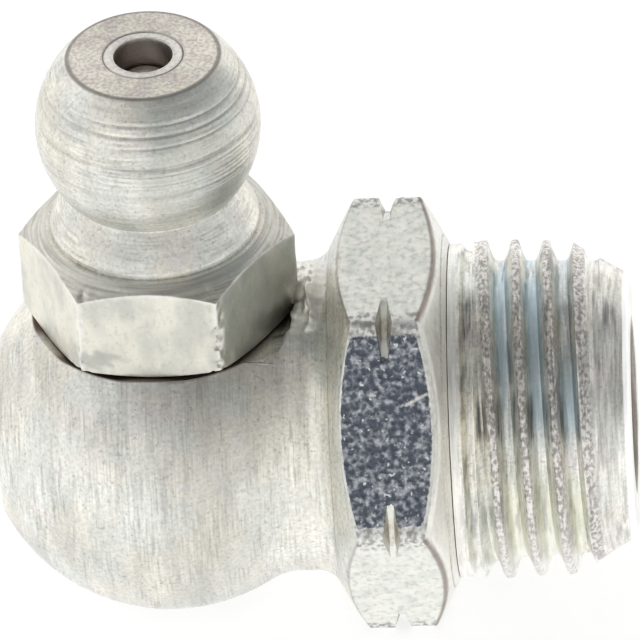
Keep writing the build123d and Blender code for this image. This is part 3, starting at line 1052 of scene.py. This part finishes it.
def flange_finish():
    """Pitted flats, one of them coarse with a painted dark reflection and glints, between turned
    chamfers.
    """
    coat = zinc("zinc_flange")
    flat, dark, corner = (coat.attribute(name) for name in ("flat", "dark", "corner"))
    turned = coat.math("SUBTRACT", 1.0, flat)
    lines, _ = turned_lines(coat, "X", 13.0, turned)
    coat.paint("bright", 0.6, (0.96, 0.95, 0.90))
    patch = coat.step(coat.noise(2.5, 4.0, seed=7), 0.36, 0.62)
    coat.over(flat, coat.mix(patch, (0.77, 0.79, 0.74), (0.87, 0.87, 0.81)))
    pits = coat.noise((6, 5, 5), 4.0, seed=8)
    coat.over(coat.times(flat, 0.4, coat.step(pits, 0.45, 0.75)), STAIN)
    torn = coat.mix(coat.step(pits, 0.4, 0.62), (0.80, 0.80, 0.77), (0.30, 0.29, 0.28))
    coat.over(coat.times(corner, flat, 0.75), torn)
    # a painted dark reflection, with grain, over the coarse front flat
    ragged = coat.math("ADD", dark, coat.times(coat.noise(6, seed=9), 0.8))
    sooty = coat.times(coat.step(ragged, 0.66, 0.95), coat.step(dark, 0.0, 0.25))
    grains = coat.noise(5.5, seed=10)
    grain = coat.mix(coat.step(grains, 0.4, 0.8), (0.11, 0.125, 0.155), (0.62, 0.65, 0.68))
    coat.over(sooty, grain)
    # painted glints on some of the dark flat's grains
    bright = coat.step(coat.noise(7, 1.0, seed=17), 0.66, 0.74)
    coat.over(coat.times(bright, sooty), (0.72, 0.74, 0.74))
    coat.paint("rim", 0.85, (0.26, 0.21, 0.18))
    coat.paint("scratch", 0.8, (0.85, 0.84, 0.78))
    heights = [(coat.mix(flat, lines, pits), 0.008), (coat.times(grains, sooty), 0.03)]
    return coat.finish((pits, 0.36, 0.5), heights)


def thread_finish():
    """Streaked plate with blue and yellow roots, dirty crests and smuts, and painted light and
    shade.
    """
    coat = zinc("turned_zinc_thread", deepest=0.8)
    lines, broad = turned_lines(coat, "X", 9.0, least=0.8, shades=(0.72, 1.2))
    streaks = coat.noise((24, 0.8, 0.8), 3.0, seed=25)
    coat.shade(coat.step(streaks, 0.35, 0.65, 0.93, 1.12))
    tint = coat.step(coat.noise((1.2, 0.25, 0.25), 1.0, seed=11), 0.36, 0.56, 0.3, 1.0)
    coat.paint("blue", coat.times(tint, 0.8), (0.52, 0.66, 0.74))
    coat.paint("yellow", 0.6, (0.86, 0.86, 0.68))
    speckle = coat.step(coat.noise((11, 7, 7), 3.0, seed=18), 0.38, 0.6)
    coat.paint("crest", 0.75, coat.mix(speckle, (0.24, 0.22, 0.21), (0.80, 0.76, 0.73)))
    smuts = coat.step(coat.noise((4.5, 0.5, 0.5), 3.0, seed=20), 0.57, 0.66)
    coat.over(coat.times(smuts, 0.5), (0.22, 0.21, 0.21))
    # painted dark reflection in bands across the thread, broken up by the streaks
    coat.paint("smut", coat.step(streaks, 0.38, 0.6, 0.85, 0.35), (0.14, 0.14, 0.15))
    # lighter end face and collar, and the floor's painted reflection on the underside
    coat.paint("plain", 0.8, (0.87, 0.87, 0.82))
    coat.paint("lead", 0.3, (0.52, 0.50, 0.47))
    # painted shade inside the bore and its mouth
    coat.paint("bore", 1.0, GRIME)
    # painted highlight on the edge at the tip
    coat.paint("tip", 1.0, (1.0, 1.0, 1.0))
    return coat.finish((lines, 0.42, 0.3), [(lines, 0.02), (broad, 0.025)], "X")


def head_finish():
    """Turned ball and flare, clouded facets, worn edges, a stained top, and painted light and
    shade.
    """
    coat = zinc("turned_zinc_head")
    turned, top = coat.attribute("turned"), coat.attribute("top")
    lines, broad = turned_lines(coat, "Z", 13.0, turned)
    meridian = coat.noise((1.1, 1.1, 0.12), 1.0, seed=12)
    coat.shade(coat.step(meridian, 0.35, 0.6, 0.88, 1.02))
    facet = coat.math("SUBTRACT", 1.0, coat.math("ADD", turned, top))
    cloud = coat.step(coat.noise((1.1, 1.1, 0.7), 5.0, seed=19), 0.36, 0.62)
    clouded = coat.mix(cloud, (0.61, 0.61, 0.55), (0.84, 0.82, 0.71))
    coat.over(coat.times(facet, 0.8), clouded)
    dents = coat.step(coat.noise((7, 7, 5), 3.0, seed=26), 0.54, 0.68)
    coat.over(coat.times(facet, 0.18, dents), STAIN)
    score = coat.step(coat.noise((0.5, 0.5, 26), seed=21), 0.36, 0.64)
    # scored chamfer, with a painted dark reflection
    coat.paint("chamfer", 0.75, coat.mix(score, (0.42, 0.41, 0.37), (0.68, 0.67, 0.60)))
    blotch = coat.step(coat.noise(1.6, 4.0, seed=22), 0.4, 0.62)
    coat.over(top, coat.mix(blotch, (0.76, 0.70, 0.65), (0.88, 0.84, 0.74)))
    speckle = coat.noise(9, 3.0, seed=15)
    coat.shade(coat.mix(top, (1.0, 1.0, 1.0), coat.step(speckle, 0.35, 0.68, 1.04, 0.72)))
    coat.paint("burnished", 0.4, (0.96, 0.94, 0.94))
    # worn edges of the hex, with a painted highlight
    coat.paint("edge", 0.6, (0.95, 0.94, 0.90))
    # painted shade along the flat top's rim and round the burnished ring
    coat.paint("rim", 0.8, (0.22, 0.19, 0.18))
    coat.paint("ring", 0.3, (0.30, 0.28, 0.26))
    # painted shade: dark reflections on the ball and the right facet, shadow at the flare's foot
    coat.paint("dull", 0.42, (0.42, 0.46, 0.43))
    coat.paint("scuff", 0.6, (0.42, 0.42, 0.39))
    coat.paint("mouth", 0.75, (0.42, 0.35, 0.32))
    pits = coat.noise(8, 3.0, seed=13)
    heights = [(lines, 0.005), (broad, 0.016), (pits, 0.009)]
    return coat.finish((lines, 0.46, 0.34), heights, "Z")


def steel_finish(name, colour, per_mm):
    """Bright hardened steel with faint marks."""
    coat = Coat(name, colour)
    marks = coat.noise(per_mm, 3.0)
    coat.shade(coat.step(marks, 0.35, 0.6, 0.75, 1.05))
    return coat.finish((marks, 0.3, 0.2), [(marks, 0.004)])


# ---- camera, light and floor ----
def add_camera():
    """The photograph's viewpoint, from the pixel that the elbow's centre falls on."""
    level = Vector((cos(VIEW_AZIMUTH), sin(VIEW_AZIMUTH), 0))
    toward = Vector((sin(VIEW_AZIMUTH), -cos(VIEW_AZIMUTH), 0)) * cos(VIEW_ELEVATION)
    toward.z = sin(VIEW_ELEVATION)
    upward = toward.cross(level)
    right = level * cos(VIEW_ROLL) - upward * sin(VIEW_ROLL)
    up = level * sin(VIEW_ROLL) + upward * cos(VIEW_ROLL)
    aside = (ELBOW_PIXEL[0] - IMAGE / 2) / PIXELS_PER_METRE
    above = (IMAGE / 2 - ELBOW_PIXEL[1]) / PIXELS_PER_METRE
    target = ELBOW_CENTRE - right * aside - up * above
    data = bpy.data.cameras.new("camera")
    data.sensor_width = SENSOR
    data.lens = SENSOR * PIXELS_PER_METRE * VIEW_DISTANCE / IMAGE
    data.clip_start = 0.01
    data.clip_end = 20
    camera = show("camera", data)
    turn = Matrix((right, up, toward)).transposed().to_4x4()
    camera.matrix_world = Matrix.Translation(target + toward * VIEW_DISTANCE) @ turn
    bpy.context.scene.camera = camera


FLOOR_HALF = 0.08  # metres
FLOOR_GLOW = 0.73  # with the studio's light on it, this leaves it white but for the shadow
FLOOR_IN_METAL = 1.12  # its light as the metal sees it
DIM_WAY = Vector((0.36, -0.2, 0.91)).normalized()  # where the studio is dim, over the camera
# the studio's light, from opposite that way at 0 to along it at 1
STUDIO = ((0.0, 1.2), (0.45, 1.12), (0.71, 0.88), (0.88, 0.48), (1.0, 0.3))


def by_ray(tree, ray, usual, special, output):
    """Gives rays of one kind a shader of their own."""
    which = put(tree, "LightPath").outputs[ray]
    mix = put(tree, "MixShader", {0: which, 1: usual.outputs[0], 2: special.outputs[0]})
    fill(tree.nodes[output], {"Surface": mix.outputs[0]})


def add_floor():
    """A white floor with a soft shadow, which metal sees as evenly lit."""
    mesh = bpy.data.meshes.new("floor")
    sides = ((-FLOOR_HALF, -FLOOR_HALF), (FLOOR_HALF, -FLOOR_HALF))
    sides += ((FLOOR_HALF, FLOOR_HALF), (-FLOOR_HALF, FLOOR_HALF))
    mesh.from_pydata([(x, y, FLOOR_Z * MM) for x, y in sides], [], [(0, 1, 2, 3)])
    material = bpy.data.materials.new("white_floor")
    material.use_nodes = True
    tree = material.node_tree
    matt = tree.nodes["Principled BSDF"]
    fill(matt, {"Base Color": (*MID, 1), "Roughness": 1.0, "Specular IOR Level": 0.0})
    fill(matt, {"Emission Color": WHITE, "Emission Strength": FLOOR_GLOW})
    lit = put(tree, "Emission", {"Strength": FLOOR_IN_METAL})
    by_ray(tree, "Is Glossy Ray", matt, lit, "Material Output")
    mesh.materials.append(material)
    show("floor", mesh)


def add_world():
    """A studio dim over the camera for metal, and white in the picture."""
    world = bpy.data.worlds.new("studio")
    bpy.context.scene.world = world
    world.use_nodes = True
    tree = world.node_tree
    way = put(tree, "TexCoord").outputs["Generated"]
    dot = put(tree, "VectorMath", {0: way, 1: DIM_WAY}, operation="DOT_PRODUCT")
    share = put(tree, "MapRange", {"Value": dot.outputs["Value"], "From Min": -1})
    ramp = put(tree, "ValToRGB", {"Fac": share.outputs["Result"]})
    stops = ramp.color_ramp.elements
    while len(stops) < len(STUDIO):
        stops.new(0.5)
    for stop, (position, light) in zip(stops, STUDIO):
        stop.position = position
        stop.color = (light, light, light, 1)
    studio = tree.nodes["Background"]
    fill(studio, {"Color": ramp.outputs["Color"]})
    plain = put(tree, "Background", {"Color": WHITE})
    by_ray(tree, "Is Camera Ray", studio, plain, "World Output")


# ---- the scene ----
make_ball(body_finish())
make_flange(flange_finish())
make_shank(thread_finish())
make_head(head_finish())
make_check_ball(steel_finish("ball_steel", (0.80, 0.76, 0.74), 3))
make_spring(steel_finish("spring_steel", (0.62, 0.62, 0.64), 2))
add_camera()
add_world()
add_floor()
bpy.context.scene.view_settings.view_transform = "Standard"
